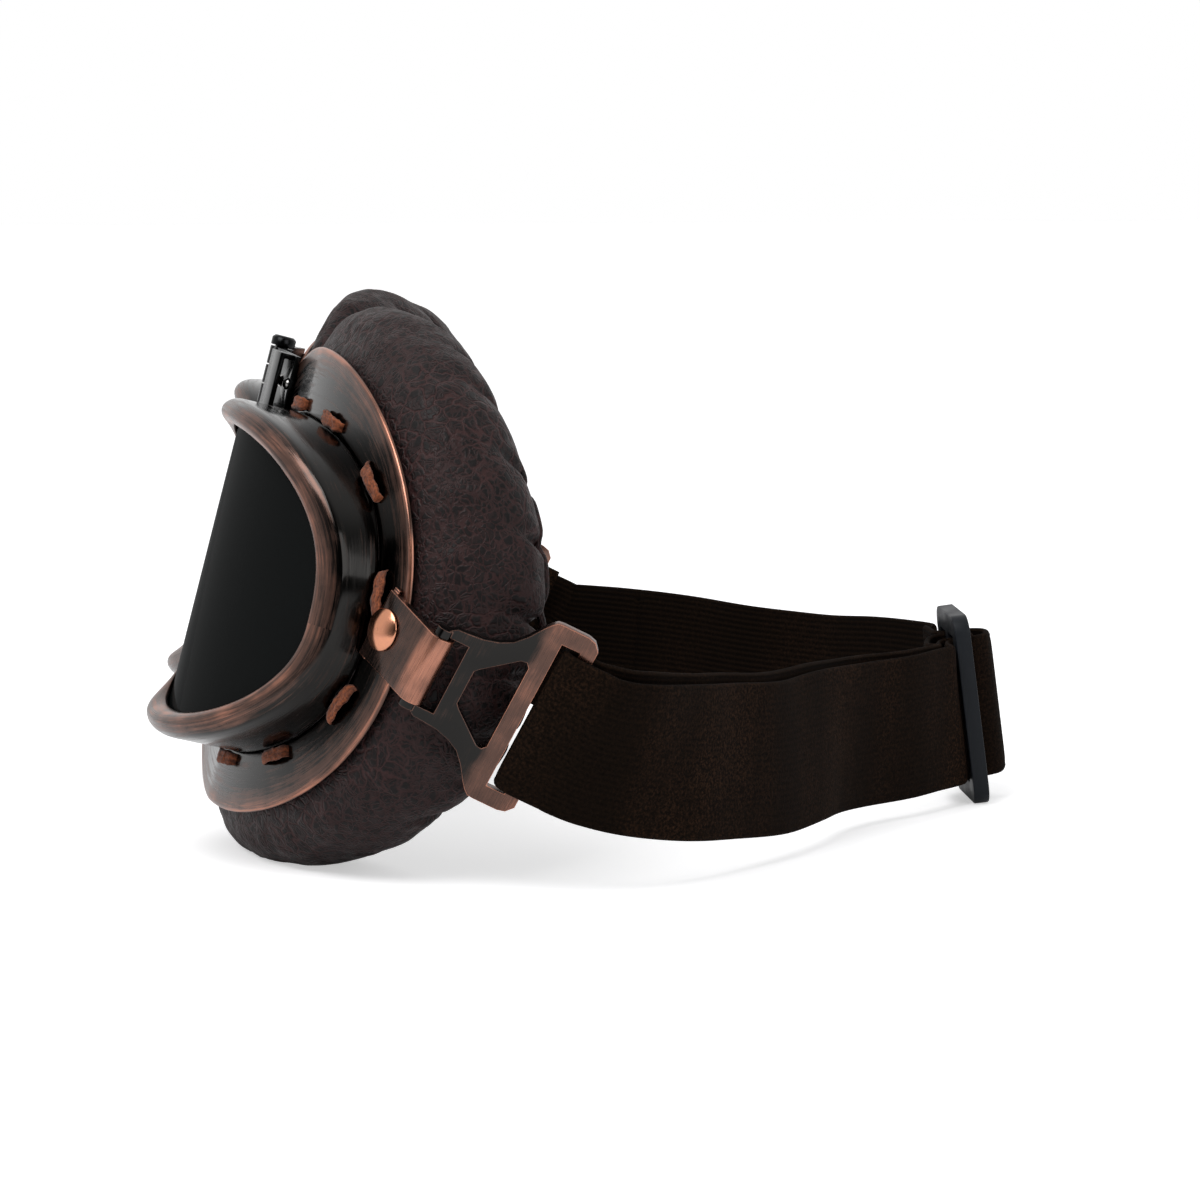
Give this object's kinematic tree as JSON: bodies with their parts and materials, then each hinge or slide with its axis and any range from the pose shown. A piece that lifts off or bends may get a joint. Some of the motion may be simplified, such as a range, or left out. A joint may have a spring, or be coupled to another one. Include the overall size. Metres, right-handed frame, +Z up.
{
  "type": "folding riding goggles",
  "caption": "Steampunk goggles: two hinged metal eyecups with curved smoked lenses, laced padded cushions, swinging side buckles and an elastic head strap.",
  "frame": {"origin": "centre of the object's box, on the table that the pads and the slider stand on", "axes": "+Z up, -Y the way the wearer faces, +X the wearer's left"},
  "size_m": [0.2154, 0.1775, 0.1032],
  "materials": {
    "aged_copper": "brushed antique copper, dark lacquer worn to copper on the edges",
    "bright_copper": "polished copper",
    "gunmetal": "dark satin plating",
    "bright_steel": "satin",
    "smoked_lens": "gloss, smoked",
    "gasket_rubber": "matte",
    "dark_leather": "fine crackled grain, very dark brown",
    "suede": "rust-brown suede",
    "elastic": "woven elastic, very dark brown",
    "black_plastic": "satin moulded"
  },
  "bodies": {
    "left_eyecup": {"left_flange": "aged_copper", "left_housing": "aged_copper", "left_lens": "smoked_lens", "left_gasket": "gasket_rubber", "left_pad": "dark_leather", "left_lace": "suede", "left_tab": "aged_copper", "left_rivet": "bright_copper", "left_hinge_leaf": "gunmetal", "left_keeper": "gunmetal", "left_hinge_rivets": "bright_steel", "hinge_pin": "gunmetal", "strap_outer_run": "elastic", "strap_inner_run": "elastic", "strap_rear_run": "elastic", "slider": "black_plastic"},
    "right_eyecup": {"right_flange": "aged_copper", "right_housing": "aged_copper", "right_lens": "smoked_lens", "right_gasket": "gasket_rubber", "right_pad": "dark_leather", "right_lace": "suede", "right_tab": "aged_copper", "right_rivet": "bright_copper", "right_hinge_leaf": "gunmetal", "right_keeper": "gunmetal", "right_hinge_rivets": "bright_steel", "strap_far_run": "elastic"},
    "left_buckle_body": {"left_buckle": "aged_copper", "left_strap_loop": "elastic"},
    "right_buckle_body": {"right_buckle": "aged_copper", "right_strap_loop": "elastic"}
  },
  "joints": [
    {"name": "nose_fold", "type": "hinge", "parent": "left_eyecup", "child": "right_eyecup", "pos_m": [-0.00593, -0.06041, 0.0875], "axis": [0, 0.2521, 0.9677], "range_deg": [0, 24]},
    {"name": "left_buckle_swing", "type": "hinge", "parent": "left_eyecup", "child": "left_buckle_body", "pos_m": [0.09947, -0.0417, 0.04201], "axis": [0.2784, 0.4158, 0.8658], "range_deg": [-14, 6]},
    {"name": "right_buckle_swing", "type": "hinge", "parent": "right_eyecup", "child": "right_buckle_body", "pos_m": [-0.10375, -0.02276, 0.03707], "axis": [-0.2382, 0.4639, 0.8532], "range_deg": [-6, 14]}
  ]
}
